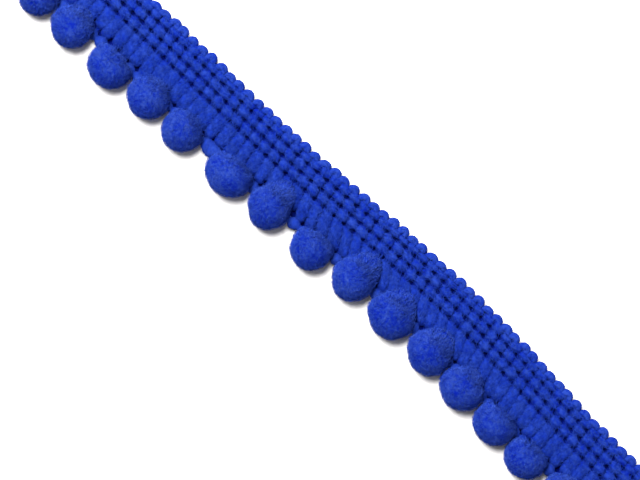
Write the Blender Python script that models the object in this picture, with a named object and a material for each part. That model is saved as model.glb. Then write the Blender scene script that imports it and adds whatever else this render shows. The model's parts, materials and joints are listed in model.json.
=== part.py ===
"""Pompom fringe trim: a cut length of knitted heading with clipped pompoms along its tie chain.

The trim lies flat and face up. +X runs along it, +Y points to its scalloped selvedge, the pompoms hang towards -Y,
and +Z is up. The origin is the middle of the whole trim, on the surface that it lies on. Units are metres.

"Across" is the distance from the selvedge line towards the pompoms. A course is one stitch of the length.
"""

import math
from collections import namedtuple

import bmesh
import bpy
from mathutils import Vector, noise

MM = 0.001

# ---------------------------------------------------------------------------------------------- driving dimensions

COURSES = 64                        # stitches along the cut length
COURSE_PITCH = 1.955 * MM
LENGTH = COURSES * COURSE_PITCH
COURSES_PER_POMPOM = 4
POMPOM_PITCH = COURSES_PER_POMPOM * COURSE_PITCH

GAP = 0.3 * MM                      # left between neighbouring pieces

# How the length lies: one soft sideways bow, and loops that lean along the trim round its middle.
BOW_RISE = 1.56 * MM
BOW_CENTRE = 18.3 * MM
BOW_REACH = 40.0 * MM
ROW_DRIFT = 0.5 * MM                # how far the last row of pits has slid along, against the first one
LOOP_LEAN = 0.25 * MM               # lean of every loop, at its tip
LOOP_LEAN_MIDDLE = 1.75 * MM        # added to it round the middle
LEAN_CENTRE = 7.0 * MM
LEAN_REACH = 36.0 * MM
END_FADE = 8.0 * MM                 # the courses stand square again over this length at each cut end

COLUMNS_PER_COURSE = 4
STITCH_ROUNDNESS = 0.6              # under 1 gives a fuller, flatter topped stitch
STITCH_UNEVENNESS = 0.05            # share by which single stitches stand higher or lower

# The heading's rows, from the selvedge to the loop tips, in mm. "across" and "crown" hold in the middle of a stitch,
# and "dip" is the height between two stitches, where the row also shifts by "draw". "offset" is the share of a
# course by which a row's stitches are out of line: the scallops stand between the stitches of the next row.
Row = namedtuple("Row", "name across crown dip draw offset")
ROWS = (
    Row("selvedge rim", 0.00, 0.90, 0.70, 0.65, 0.5),
    Row("scallop", 0.45, 1.65, 1.15, 0.45, 0.5),
    Row("selvedge crease", 1.15, 1.35, 1.25, 0.0, 0.0),
    Row("first stitch", 1.78, 1.90, 1.30, 0.0, 0.0),
    Row("first pits", 2.40, 1.45, 0.65, 0.0, 0.0),
    Row("second stitch", 3.22, 1.95, 1.35, 0.0, 0.0),
    Row("second pits", 4.05, 1.45, 0.65, 0.0, 0.0),
    Row("third stitch", 4.90, 1.95, 1.35, 0.0, 0.0),
    Row("third pits", 5.75, 1.25, 0.60, 0.0, 0.0),
    Row("loop root", 6.30, 1.95, 1.20, 0.0, 0.0),
    Row("loop back", 7.60, 2.15, 1.30, 0.0, 0.0),
    Row("loop bend", 8.95, 1.95, 1.10, -0.25, 0.0),
    Row("loop tip", 9.45, 0.90, 0.60, -0.65, 0.0),
)
FIRST_PITS = next(row.across for row in ROWS if row.name == "first pits") * MM
THIRD_PITS = next(row.across for row in ROWS if row.name == "third pits") * MM
LOOP_TIP = ROWS[-1].across * MM
HEADING_THICKNESS = max(row.crown for row in ROWS) * (1 + STITCH_UNEVENNESS) * MM

# The tie chain: one knob a course, along the loop tips.
KNOB_RADIUS = 0.74 * MM
NECK_RADIUS = 0.46 * MM
CHAIN_ACROSS = LOOP_TIP + GAP + KNOB_RADIUS
CHAIN_HEIGHT = 1.35 * MM
RINGS_PER_COURSE = 3

# The pompoms, in mm. "drift" is how far each lies along the trim from its even place, "hang" is its centre's distance
# from the selvedge line, "wide" and "long" are its sizes along and across the trim, and "turn" is in degrees.
Pompom = namedtuple("Pompom", "drift hang wide long turn")
POMPOMS = (
    Pompom(-0.2, 12.1, 6.4, 6.1, 0),
    Pompom(-1.0, 12.3, 6.4, 6.0, 8),
    Pompom(-0.6, 12.7, 6.9, 5.9, -6),
    Pompom(-0.9, 11.9, 6.6, 6.2, 4),
    Pompom(-1.6, 12.1, 6.2, 5.9, -10),
    Pompom(0.3, 12.0, 7.4, 6.0, 5),
    Pompom(0.3, 11.6, 6.5, 6.4, 0),
    Pompom(1.5, 12.2, 6.3, 6.0, 12),
    Pompom(1.3, 11.5, 6.6, 6.5, -8),
    Pompom(1.6, 12.1, 7.4, 6.0, 6),
    Pompom(1.7, 12.1, 7.0, 5.9, -4),
    Pompom(1.2, 12.2, 7.1, 6.1, 3),
    Pompom(0.7, 12.3, 6.7, 5.7, 0),
    Pompom(-0.1, 12.4, 6.6, 5.5, 9),
    Pompom(0.0, 12.1, 6.8, 5.9, -5),
    Pompom(0.0, 12.1, 6.7, 5.9, 7),
)
POMPOM_HEIGHT = 5.8 * MM
POMPOM_SEGMENTS = 14
POMPOM_RINGS = 9
FOOT_ANGLE = math.pi / POMPOM_RINGS  # the lowest ring of points lies on the surface, as the flat spot's rim
LUMP_SHARE = 0.03                   # share of the radius by which the pile stands higher or lower in places
LUMP_FREQUENCY = 1.9                # lumps over one radius

SHARP_FROM = math.radians(60.0)     # flatter edges than this are shaded smooth

# Colours of the dyed yarn, as linear red, green and blue.
HEADING_BLUE = (0.022, 0.056, 0.43, 1.0)
CHAIN_BLUE = (0.025, 0.066, 0.47, 1.0)
POMPOM_BLUE = (0.024, 0.060, 0.46, 1.0)


# -------------------------------------------------------------------------------------------------- how the trim lies

def swell(distance, reach):
    """A smooth hump: 1 in the middle, 0 at its reach and beyond."""
    if abs(distance) >= reach:
        return 0.0
    return math.cos(0.5 * math.pi * distance / reach) ** 2


def bow(x):
    """How far the selvedge line lies towards +Y at x."""
    return BOW_RISE * swell(x - BOW_CENTRE, BOW_REACH)


def lean(x, across):
    """How far a stitch at this place has slid along the trim."""
    rows = min(max((across - FIRST_PITS) / (THIRD_PITS - FIRST_PITS), 0.0), 1.0)
    loop = min(max((across - THIRD_PITS) / (LOOP_TIP - THIRD_PITS), 0.0), 1.0)
    at_tip = LOOP_LEAN + LOOP_LEAN_MIDDLE * swell(x - LEAN_CENTRE, LEAN_REACH)
    to_end = min((0.5 * LENGTH - abs(x)) / END_FADE, 1.0)
    return (ROW_DRIFT * rows + at_tip * loop) * to_end


def place(x, across, height):
    """The point of the laid trim for a station along it, a distance across it and a height."""
    along = x + lean(x, across)
    return Vector((along, bow(along) - across, height))


# ------------------------------------------------------------------------------------------------------------ helpers

def start_empty():
    for old in list(bpy.data.objects):
        bpy.data.objects.remove(old, do_unlink=True)


def yarn(name, colour, roughness):
    material = bpy.data.materials.new(name)
    material.use_nodes = True
    shader = material.node_tree.nodes["Principled BSDF"]
    shader.inputs["Base Color"].default_value = colour
    shader.inputs["Roughness"].default_value = roughness
    shader.inputs["Metallic"].default_value = 0.0
    material.diffuse_color = colour
    return material


def add_object(name, data, material, parent):
    piece = bpy.data.objects.new(name, data)
    bpy.context.scene.collection.objects.link(piece)
    piece.parent = parent
    if material:
        data.materials.append(material)
    return piece


def finished_mesh(name, bm):
    bmesh.ops.recalc_face_normals(bm, faces=bm.faces[:])
    mesh = bpy.data.meshes.new(name)
    bm.to_mesh(mesh)
    bm.free()
    mesh.shade_smooth()
    mesh.set_sharp_from_angle(angle=SHARP_FROM)
    return mesh


# ------------------------------------------------------------------------------------------------------------ heading

def unevenness(course, row_index):
    """A share near 0 that makes each stitch a little higher or lower than the next."""
    return STITCH_UNEVENNESS * noise.noise(Vector((course * 3.7, row_index * 5.3, 0.5)))


def heading_point(column, row_index):
    """The place of one grid point on the heading's face."""
    row = ROWS[row_index]
    course, step = divmod(column, COLUMNS_PER_COURSE)
    turn = math.pi * (step / COLUMNS_PER_COURSE + row.offset)
    roundness = abs(math.sin(turn)) ** STITCH_ROUNDNESS
    across = row.across + row.draw * (1.0 - roundness)
    height = row.dip + (row.crown - row.dip) * roundness
    height *= 1.0 + unevenness(course, row_index)
    x = -0.5 * LENGTH + column * COURSE_PITCH / COLUMNS_PER_COURSE
    return place(x, across * MM, height * MM)


def make_heading(material, parent):
    """The knitted heading: a grid of points for its face, walls down from its two long rims and a flat underside."""
    columns = COURSES * COLUMNS_PER_COURSE
    last_row = len(ROWS) - 1
    bm = bmesh.new()
    bmesh.ops.create_grid(bm, x_segments=columns, y_segments=last_row, size=0.5)
    rims = {0: set(), last_row: set()}
    for vertex in bm.verts:
        column = round((vertex.co.x + 0.5) * columns)
        row_index = round((0.5 - vertex.co.y) * last_row)
        vertex.co = heading_point(column, row_index)
        if row_index in rims:
            rims[row_index].add(vertex)
    feet = []
    for rim in rims.values():
        edges = [edge for edge in bm.edges if rim.issuperset(edge.verts)]
        wall = bmesh.ops.extrude_edge_only(bm, edges=edges)["geom"]
        for vertex in (part for part in wall if isinstance(part, bmesh.types.BMVert)):
            vertex.co.z = 0.0
        feet += [part for part in wall if isinstance(part, bmesh.types.BMEdge)]
    bmesh.ops.bridge_loops(bm, edges=feet)
    cut_ends = [edge for edge in bm.edges if edge.is_boundary]
    bmesh.ops.holes_fill(bm, edges=cut_ends, sides=0)
    return add_object("heading", finished_mesh("heading", bm), material, parent)


# ---------------------------------------------------------------------------------------------------------- tie chain

def make_tie_chain(material, parent):
    """The knobbed chain: a thick line whose radius swells to a knob in the middle of each course."""
    curve = bpy.data.curves.new("tie_chain", "CURVE")
    curve.dimensions = "3D"
    curve.bevel_depth = KNOB_RADIUS
    curve.bevel_resolution = 1
    curve.render_resolution_u = 0
    curve.use_fill_caps = True
    line = curve.splines.new("POLY")
    rings = COURSES * RINGS_PER_COURSE
    line.points.add(rings)
    for ring, point in enumerate(line.points):
        x = -0.5 * LENGTH + ring * LENGTH / rings
        point.co = (*place(x, CHAIN_ACROSS, CHAIN_HEIGHT), 1.0)
        is_neck = ring % RINGS_PER_COURSE == 0
        point.radius = NECK_RADIUS / KNOB_RADIUS if is_neck else 1.0
    return add_object("tie_chain", curve, material, parent)


# ------------------------------------------------------------------------------------------------------------ pompoms

def make_pompom(number, sizes, material, parent):
    """One clipped pompom: a lumpy ball that stands on a small flat spot."""
    bm = bmesh.new()
    bmesh.ops.create_uvsphere(bm, u_segments=POMPOM_SEGMENTS, v_segments=POMPOM_RINGS, radius=1.0)
    foot = math.cos(FOOT_ANGLE)
    radius_up = POMPOM_HEIGHT / (1.0 + foot)
    for vertex in bm.verts:
        direction = vertex.co.normalized()
        on_foot = direction.z < 0.001 - foot
        spot = direction * LUMP_FREQUENCY + Vector((number * 7.1, 0.0, 0.0))
        share = 1.0 + LUMP_SHARE * noise.noise(spot)
        vertex.co = Vector((
            direction.x * share * 0.5 * sizes.wide * MM,
            direction.y * share * 0.5 * sizes.long * MM,
            0.0 if on_foot else (direction.z * share + foot) * radius_up,
        ))
    name = f"pompom_{number:02d}"
    pompom = add_object(name, finished_mesh(name, bm), material, parent)
    x = (number - 0.5) * POMPOM_PITCH - 0.5 * LENGTH + sizes.drift * MM
    pompom.location = (x, bow(x) - sizes.hang * MM, 0.0)
    pompom.rotation_euler.z = math.radians(sizes.turn)
    return pompom


def clearance_section(x):
    """The outline, at one station, of the room that the loops and the tie chain take, with the gap round them."""
    reach = KNOB_RADIUS + GAP
    top = HEADING_THICKNESS + GAP
    below = -1.0 * MM
    far_side = THIRD_PITS
    over_knob = [math.radians(angle) for angle in (180, 150, 120, 90)]
    outline = [(CHAIN_ACROSS + reach, below)]
    outline += [(CHAIN_ACROSS - reach * math.cos(a), CHAIN_HEIGHT + reach * math.sin(a)) for a in over_knob]
    outline += [(LOOP_TIP + GAP, top), (far_side, top), (far_side, below)]
    return [Vector((x, bow(x) - across, height)) for across, height in outline]


def make_clearance(parent):
    """The cutter that notches every pompom where the loops and the chain pass. It follows the trim's bow."""
    stations = 2 * len(POMPOMS)
    bm = bmesh.new()
    loops = []
    for station in range(stations + 1):
        x = (station / stations - 0.5) * (LENGTH + POMPOM_PITCH)
        ring = [bm.verts.new(point) for point in clearance_section(x)]
        loops.append([bm.edges.new((ring[k - 1], ring[k])) for k in range(len(ring))])
    for near, far in zip(loops, loops[1:]):
        bmesh.ops.bridge_loops(bm, edges=near + far)
    bmesh.ops.holes_fill(bm, edges=loops[0] + loops[-1], sides=0)
    cutter = add_object("clearance", finished_mesh("clearance", bm), None, parent)
    cutter.hide_render = True
    cutter.display_type = "WIRE"
    return cutter


def notch(pompom, cutter):
    cut = pompom.modifiers.new("clearance", "BOOLEAN")
    cut.operation = "DIFFERENCE"
    cut.object = cutter


# --------------------------------------------------------------------------------------------------------------- trim

def centre_on_origin(trim, pieces):
    """Moves the trim sideways until the middle of its width is over the origin."""
    sides = [(piece.matrix_basis @ v.co).y for piece in pieces for v in piece.data.vertices]
    trim.location.y = -0.5 * (min(sides) + max(sides))


def main():
    start_empty()
    trim = bpy.data.objects.new("trim", None)
    bpy.context.scene.collection.objects.link(trim)
    heading = make_heading(yarn("heading yarn", HEADING_BLUE, 0.9), trim)
    make_tie_chain(yarn("chain yarn", CHAIN_BLUE, 0.9), trim)
    pile = yarn("clipped pile", POMPOM_BLUE, 0.95)
    pompoms = [make_pompom(n, sizes, pile, trim) for n, sizes in enumerate(POMPOMS, start=1)]
    clearance = make_clearance(trim)
    for pompom in pompoms:
        notch(pompom, clearance)
    centre_on_origin(trim, [heading, *pompoms])


main()
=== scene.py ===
"""Looks of a pompom fringe trim: yarn, stitches, finger loops, knobbed tie chain and clipped pompoms.

"Across" is the distance from the selvedge line towards the pompoms, a "course" is one stitch of the length,
and "station" is a place along the trim before its stitches lean. Lengths are metres, and tables in mm say so.
"""

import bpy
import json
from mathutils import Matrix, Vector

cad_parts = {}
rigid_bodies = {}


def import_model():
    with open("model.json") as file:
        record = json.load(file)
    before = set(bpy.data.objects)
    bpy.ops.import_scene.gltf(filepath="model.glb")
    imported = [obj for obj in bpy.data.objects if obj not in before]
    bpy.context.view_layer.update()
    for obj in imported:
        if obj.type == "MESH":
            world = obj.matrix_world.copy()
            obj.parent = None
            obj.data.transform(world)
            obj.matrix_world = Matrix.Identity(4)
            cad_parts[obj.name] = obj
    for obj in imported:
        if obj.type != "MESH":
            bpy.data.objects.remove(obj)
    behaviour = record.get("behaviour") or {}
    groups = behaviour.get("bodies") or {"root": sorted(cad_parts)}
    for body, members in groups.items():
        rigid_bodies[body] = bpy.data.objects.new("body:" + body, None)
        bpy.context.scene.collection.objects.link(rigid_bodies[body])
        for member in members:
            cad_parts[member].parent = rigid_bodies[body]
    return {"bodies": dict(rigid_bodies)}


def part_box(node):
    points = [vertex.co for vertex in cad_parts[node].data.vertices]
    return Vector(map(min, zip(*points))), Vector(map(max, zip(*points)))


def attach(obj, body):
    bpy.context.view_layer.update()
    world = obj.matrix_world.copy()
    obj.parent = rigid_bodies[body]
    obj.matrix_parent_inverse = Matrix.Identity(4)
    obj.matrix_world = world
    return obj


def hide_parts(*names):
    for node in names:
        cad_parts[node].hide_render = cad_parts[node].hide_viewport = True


bl_info = {
    "name": "Pompom Fringe Trim",
    "version": (1, 0, 0),
    "blender": (4, 5, 0),
    "location": "3D View > Sidebar > Trim",
    "description": "Dresses a knitted trim with yarn, finger loops, a knobbed chain and clipped pompoms",
    "category": "Add Mesh",
}

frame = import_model()

import json
import math
from collections import namedtuple

import bmesh
import bpy
import numpy as np
from bpy.props import FloatProperty, FloatVectorProperty, IntProperty, PointerProperty
from mathutils import Vector, noise

MM = 0.001
BODY = next(iter(frame["bodies"]))
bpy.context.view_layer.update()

# ---- how the trim is laid out

HEADING_LOW, HEADING_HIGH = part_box("heading")
LENGTH = HEADING_HIGH.x - HEADING_LOW.x
COURSES = 64
COURSE_PITCH = LENGTH / COURSES
COURSES_PER_POMPOM = 4
POMPOM_PITCH = COURSES_PER_POMPOM * COURSE_PITCH

# The trim's one soft sideways bow.
BOW_RISE = 1.56 * MM
BOW_CENTRE = 18.3 * MM
BOW_REACH = 40.0 * MM
SELVEDGE_Y = HEADING_HIGH.y - BOW_RISE

# How far the stitches have slid along the trim: the last row of pits against the first, every loop's tip,
# and what is added to the tips round the middle. The courses stand square again near each cut end.
ROW_DRIFT = 0.5 * MM
LOOP_LEAN = 0.25 * MM
LOOP_LEAN_MIDDLE = 1.75 * MM
LEAN_CENTRE = 7.0 * MM
LEAN_REACH = 36.0 * MM
END_FADE = 8.0 * MM

# The binding pinches each pick of yarn along these lines, in mm: it narrows the pick within one reach to
# either side, and presses its top down within another.
Pinch = namedtuple("Pinch", "name across half_width reach top dip_reach")
PINCHES = (
    Pinch("selvedge crease", 1.12, 1.00, 0.30, 1.50, 0.30),
    Pinch("first pits", 2.40, 0.34, 0.23, 1.48, 0.30),
    Pinch("second pits", 4.05, 0.34, 0.23, 1.44, 0.30),
    Pinch("third pits", 5.75, 0.34, 0.24, 1.40, 0.32),
)
SELVEDGE_CREASE, FIRST_PITS, THIRD_PITS = (PINCHES[k].across * MM for k in (0, 1, 3))
LOOP_TIP = 9.45 * MM

# One pick between its pinches, in mm across: half its width, and its top and underside.
Section = namedtuple("Section", "name across half_width top underside")
SECTIONS = (
    Section("first stitch", 1.78, 1.08, 1.92, 0.12),
    Section("second stitch", 3.24, 1.08, 2.08, 0.10),
    Section("third stitch", 4.90, 1.08, 2.08, 0.10),
    Section("loop root", 6.45, 1.14, 2.02, 0.12),
    Section("loop back", 7.75, 1.18, 2.20, 0.08),
    Section("loop bend", 9.00, 1.08, 2.12, 0.10),
)

# Past its bend a loop rounds off, and a thin neck of it goes on to the chain.
BEND_END = 9.80 * MM
BEND_ROUNDING = 1.10 * MM
NECK_HALF_WIDTH = 0.34 * MM
NECK_TOP = 0.95 * MM
NECK_LIFT = 0.2 * MM

CHAIN_ACROSS = 10.49 * MM
CHAIN_HEIGHT = 1.35 * MM
KNOB_RADIUS = 0.84 * MM
NECK_RADIUS = 0.34 * MM

# One long knot fills the chain where two pompoms stand further apart.
LONG_KNOT_STATION = -24.8 * MM
LONG_KNOT_REACH = 2.0 * MM
LONG_KNOT_RADIUS = 1.05 * MM

# The ground and the binding threads stop this far short of each cut end.
CUT_END_INSET = 0.55 * MM

# One row for each pompom, from -X to +X: how far it slides from its even place, how far its middle hangs
# from the selvedge, its width along the trim and its length across it, in mm, and its turn in degrees; then,
# in mm, how far its neck is drawn out to the loops (below 0 is a dent) and the two corners beside it.
Pompom = namedtuple("Pompom", "drift hang wide long turn neck corners")
POMPOMS = [Pompom(*row) for row in (
    (-0.2, 12.1, 6.4, 6.1, 0, 0.9, 0.2),
    (-1.0, 12.3, 6.4, 6.0, 8, 1.0, 0.4),
    (-0.6, 12.7, 6.9, 5.9, -6, -0.5, 0.6),
    (-0.9, 11.9, 6.6, 6.2, 4, 0.5, 0.1),
    (-1.6, 12.1, 6.2, 5.9, -10, 0.2, 0.5),
    (0.3, 12.0, 7.4, 6.0, 5, 0.0, 0.5),
    (0.3, 11.6, 6.5, 6.4, 0, 2.3, 0.2),
    (1.5, 12.2, 6.3, 6.0, 12, 0.0, 0.6),
    (1.3, 11.5, 6.6, 6.5, -8, 2.4, 0.4),
    (1.6, 12.1, 7.4, 6.0, 6, 2.3, 0.4),
    (1.7, 12.1, 7.0, 5.9, -4, 2.2, 0.4),
    (1.2, 12.2, 7.1, 6.1, 3, 1.0, 0.1),
    (0.7, 12.3, 6.7, 5.7, 0, -0.4, 0.6),
    (-0.1, 12.4, 6.6, 5.5, 9, 0.0, 0.6),
    (0.0, 12.1, 6.8, 5.9, -5, 0.7, 0.3),
    (0.0, 12.1, 6.7, 5.9, 7, 1.0, 0.2),
)]
POMPOM_HEIGHT = 5.8 * MM


def swell(distance, reach):
    """A smooth hump: 1 in the middle, 0 at its reach and beyond."""
    return np.where(np.abs(distance) < reach, np.cos(0.5 * np.pi * distance / reach) ** 2, 0.0)


def bow(x):
    """How far the selvedge line lies towards +Y at x."""
    return BOW_RISE * swell(x - BOW_CENTRE, BOW_REACH)


def loop_share(across):
    """0 up to the third pits, 1 from the loops' tips on."""
    return np.clip((across - THIRD_PITS) / (LOOP_TIP - THIRD_PITS), 0.0, 1.0)


def lean(x, across):
    """How far a stitch at this place has slid along the trim."""
    rows = np.clip((across - FIRST_PITS) / (THIRD_PITS - FIRST_PITS), 0.0, 1.0)
    at_tip = LOOP_LEAN + LOOP_LEAN_MIDDLE * swell(x - LEAN_CENTRE, LEAN_REACH)
    to_end = np.clip((0.5 * LENGTH - np.abs(x)) / END_FADE, 0.0, 1.0)
    return (ROW_DRIFT * rows + at_tip * loop_share(across)) * to_end


def place(x, across, height):
    """Points of the laid trim for stations along it, distances across it and heights."""
    x, across, height = np.broadcast_arrays(x, across, height)
    along = x + lean(x, across)
    return np.stack([along, SELVEDGE_Y + bow(along) - across, height], axis=-1)


def course_wave(x):
    """0 between two courses and 1 in the middle of each."""
    return np.abs(np.sin(np.pi * (x + 0.5 * LENGTH) / COURSE_PITCH))


def eased(at, places, values):
    """Reads values between places with a soft, level turn at each place."""
    at, places, values = (np.asarray(each, float) for each in (at, places, values))
    k = np.clip(np.searchsorted(places, at, side="right") - 1, 0, len(places) - 2)
    share = np.clip((at - places[k]) / (places[k + 1] - places[k]), 0.0, 1.0)
    share = 0.5 - 0.5 * np.cos(np.pi * share)
    return values[k] + (values[k + 1] - values[k]) * share


# ---- yarn and fibres

def unit(vectors):
    return vectors / np.maximum(np.linalg.norm(vectors, axis=-1, keepdims=True), 1e-12)


def rings_along(paths, radii, sides):
    """Rings of points round thin fibres along paths (fibre, point, xyz)."""
    tangent = unit(np.gradient(paths, axis=1))
    upright = np.where(np.abs(tangent[:, 0, 2:]) < 0.9, [[0.0, 0.0, 1.0]], [[1.0, 0.0, 0.0]])
    normal = unit(np.cross(tangent[:, 0], upright))
    normals = [normal]
    for step in range(1, paths.shape[1]):
        ahead = tangent[:, step]
        normal = unit(normal - ahead * np.sum(normal * ahead, axis=-1, keepdims=True))
        normals.append(normal)
    normals = np.stack(normals, axis=1)
    sideways = np.cross(tangent, normals)
    turn = 2.0 * np.pi * np.arange(sides) / sides
    ring = normals[:, :, None] * np.cos(turn)[:, None] + sideways[:, :, None] * np.sin(turn)[:, None]
    return paths[:, :, None] + ring * np.broadcast_to(radii, paths.shape[:2])[:, :, None, None]


# Fibres are three-sided, of three points, and thinner towards their ends. Their lengths and thicknesses run
# from the one share of the usual to the other.
FIBRE_SIDES = 3
FIBRE_STEPS = np.array([-1.0, 0.0, 1.0])
FIBRE_LENGTHS = (0.6, 1.3)
FIBRE_THICKNESSES = (0.7, 1.2)
FIBRE_TAPER, ROOTED_TAPER = [0.6, 1.0, 0.6], [1.0, 1.0, 0.6]

# Fibres on a yarn lie just proud of its skin, on its upper side, and their slants differ, in radians.
ON_SKIN, UPPER_SIDE, SLANT_SPREAD = 1.01, (-0.22 * math.pi, 1.22 * math.pi), 0.28


def fibre_reach(length, count, rng):
    """Half the length of each fibre."""
    return 0.5 * length * rng.uniform(*FIBRE_LENGTHS, count)


def fibre_rings(paths, radius, rng, taper=FIBRE_TAPER):
    """Rings of points round fibres of uneven thickness along paths."""
    radii = radius * rng.uniform(*FIBRE_THICKNESSES, (len(paths), 1)) * taper
    return rings_along(paths, radii, FIBRE_SIDES)


# A lofty yarn is a rounded box in section, with its plies in low relief, and swells and thins along its run.
SQUARENESS = 2.3
PLIES, PLY_RELIEF = 4, 0.07
PLY_MIDDLE = 0.64  # so that the relief adds no thickness
PLY_TWIST = 0.9  # radians for each mm

# The waves that make a yarn uneven: how many go round it, radians along it for each mm, and their strength.
WAVES = ((2.0, 1.1, 1.0), (3.0, -1.7, 1.0), (0.0, 2.6, 1.0), (5.0, 2.9, 0.7))


class Yarn:
    """Many like lengths of lofty yarn: middle points, sideways directions and half sizes of each."""

    def __init__(self, middle, side, half_width, half_height, rng, squareness=SQUARENESS, unevenness=0.06):
        shape = middle.shape[:2]
        self.middle = middle
        self.side = np.broadcast_to(side, middle.shape)
        self.half_width = np.broadcast_to(half_width, shape)
        self.half_height = np.broadcast_to(half_height, shape)
        self.squareness, self.unevenness = squareness, unevenness
        self.lengths, self.points = shape
        self.spacing = float(np.mean(np.linalg.norm(np.diff(middle, axis=1), axis=-1)))
        self.phase = 2.0 * np.pi * rng.random((len(WAVES), self.lengths))

    def skin(self, which, along, angle, out=1.0):
        """Points on the yarn: along counts its middle points, angle goes round it, out is 1 on its skin."""
        which, along, angle = np.broadcast_arrays(which, along, angle)
        first = np.clip(np.floor(along).astype(int), 0, self.points - 2)
        share = along - first

        def between(values):
            weight = share.reshape(share.shape + (1,) * (values.ndim - 2))
            return values[which, first] * (1.0 - weight) + values[which, first + 1] * weight

        def squared(turned):
            return np.sign(turned) * np.abs(turned) ** (2.0 / self.squareness)

        far = along * self.spacing / MM
        phase = self.phase[:, which]
        uneven = sum(
            strength * np.sin(around * angle + onwards * far + shift)
            for (around, onwards, strength), shift in zip(WAVES, phase))
        plies = np.abs(np.sin(0.5 * PLIES * (angle + PLY_TWIST * far) + phase[0])) - PLY_MIDDLE
        size = out * (1.0 + self.unevenness * uneven / 3.0 + PLY_RELIEF * plies)
        sideways = between(self.half_width) * squared(np.cos(angle)) * size
        point = between(self.middle) + between(self.side) * sideways[..., None]
        point[..., 2] += between(self.half_height) * squared(np.sin(angle)) * size
        return point


# Painted shade: yarn at or under the one height is darkest, and at or over the other palest.
DEEP, PROUD = 0.70 * MM, 2.10 * MM
TONE_SPREAD = 0.7


class Bundle:
    """Gathers the yarns and fibres of one piece, then makes them one mesh."""

    def __init__(self):
        self.points, self.faces, self.tone, self.depth = [], {}, [], []
        self.count = 0

    def add_part(self, points, face_lists, tone, depth):
        """Takes in points with faces, shade (tone) and how far out they lie (depth), which sets painted
        shade.
        """
        for faces in face_lists:
            self.faces.setdefault(faces.shape[1], []).append(faces + self.count)
        self.count += len(points)
        self.points.append(points)
        self.tone.append(np.broadcast_to(tone, len(points)))
        self.depth.append(np.broadcast_to(depth, len(points)))

    def add_rings(self, rings, tone, depth=None):
        """Takes in closed tubes, given as rings of points (tube, point, side, xyz); low points get painted
        shade.
        """
        if depth is None:
            depth = np.clip((rings[..., 2] - DEEP) / (PROUD - DEEP), 0.0, 1.0)
        tubes, steps, sides, _ = rings.shape
        index = np.arange(tubes * steps * sides).reshape(tubes, steps, sides)
        after = np.roll(index, -1, axis=2)
        walls = np.stack([index[:, :-1], after[:, :-1], after[:, 1:], index[:, 1:]], axis=-1).reshape(-1, 4)
        ends = np.concatenate([index[:, 0, ::-1], index[:, -1]])
        tone, depth = (np.broadcast_to(each, rings.shape[:3]).ravel() for each in (tone, depth))
        self.add_part(rings.reshape(-1, 3), [walls, ends], tone, depth)

    def add_spikes(self, roots, tips, radii, tone, depth):
        """Takes in three-sided spikes from their roots to their tips, as (spike, xyz)."""
        count = len(roots)
        paths = np.stack([roots, tips], axis=1)
        rings = rings_along(paths, radii[:, None], 3)[:, 0]
        points = np.concatenate([rings, tips[:, None]], axis=1).reshape(-1, 3)
        spike = 4 * np.arange(count)[:, None, None]
        faces = (spike + np.array([[0, 1, 3], [1, 2, 3], [2, 0, 3], [2, 1, 0]])).reshape(-1, 3)
        self.add_part(points, [faces], np.repeat(tone, 4), np.tile(depth, count))

    def add_yarn(self, yarn, sides, tone, stretch=slice(None)):
        """The solid body of the yarn, or of a stretch of its points."""
        along = np.arange(yarn.points)[stretch][None, :, None]
        angle = (2.0 * np.pi * np.arange(sides) / sides)[None, None, :]
        rings = yarn.skin(np.arange(yarn.lengths)[:, None, None], along, angle)
        self.add_rings(rings, tone)

    def add_fibres(self, yarn, rng, count, length, radius, slant, loft, tone=0.3, among=None):
        """Short fibres laid on the upper side of the yarn's skin, at about one slant to its run."""
        reach = fibre_reach(length, count, rng)
        margin = FIBRE_LENGTHS[1] * 0.5 * length / yarn.spacing
        which = rng.choice(np.arange(yarn.lengths) if among is None else among, count)
        along = rng.uniform(margin, yarn.points - 1 - margin, count)
        angle = rng.uniform(*UPPER_SIDE, count)
        tilt = slant + SLANT_SPREAD * rng.standard_normal(count)
        size = float(np.mean(yarn.half_height))
        along = along[:, None] + (reach * np.cos(tilt))[:, None] * FIBRE_STEPS / yarn.spacing
        angle = angle[:, None] + (reach * np.sin(tilt))[:, None] * FIBRE_STEPS / size
        rise = loft * rng.random((count, 1))
        loose_end = 0.4 * rise * rng.standard_normal((count, 1))
        out = ON_SKIN + rise * (1.0 - FIBRE_STEPS ** 2) + loose_end * FIBRE_STEPS
        rings = fibre_rings(yarn.skin(which[:, None], along, angle, out), radius, rng)
        self.add_rings(rings, tone + TONE_SPREAD * rng.random((count, 1, 1)))

    def mesh(self, name):
        """All that was taken in, as one smooth mesh with each point's tone and depth (its painted shade)."""
        points = np.concatenate(self.points)
        face_lists = [np.concatenate(group) for group in self.faces.values()]
        corners = np.concatenate([faces.ravel() for faces in face_lists])
        sizes = np.concatenate([np.full(len(faces), faces.shape[1]) for faces in face_lists])
        mesh = bpy.data.meshes.new(name)
        mesh.vertices.add(len(points))
        mesh.vertices.foreach_set("co", points.astype(np.float32).ravel())
        mesh.loops.add(len(corners))
        mesh.loops.foreach_set("vertex_index", corners.astype(np.int32))
        mesh.polygons.add(len(sizes))
        mesh.polygons.foreach_set("loop_start", (np.cumsum(sizes) - sizes).astype(np.int32))
        mesh.update(calc_edges=True)
        mesh.shade_smooth()
        for title, values in (("tone", self.tone), ("depth", self.depth)):
            layer = mesh.attributes.new(title, "FLOAT", "POINT")
            layer.data.foreach_set("value", np.concatenate(values).astype(np.float32))
        return mesh


def add_object(name, data):
    added = bpy.data.objects.new(name, data)
    bpy.context.scene.collection.objects.link(added)
    return added


def add_piece(mesh, material):
    """Puts a finished mesh, dressed in the material of that name, into the scene as a piece of the trim."""
    piece = add_object(mesh.name, mesh)
    mesh.materials.append(bpy.data.materials[material])
    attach(piece, BODY)
    return piece
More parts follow.
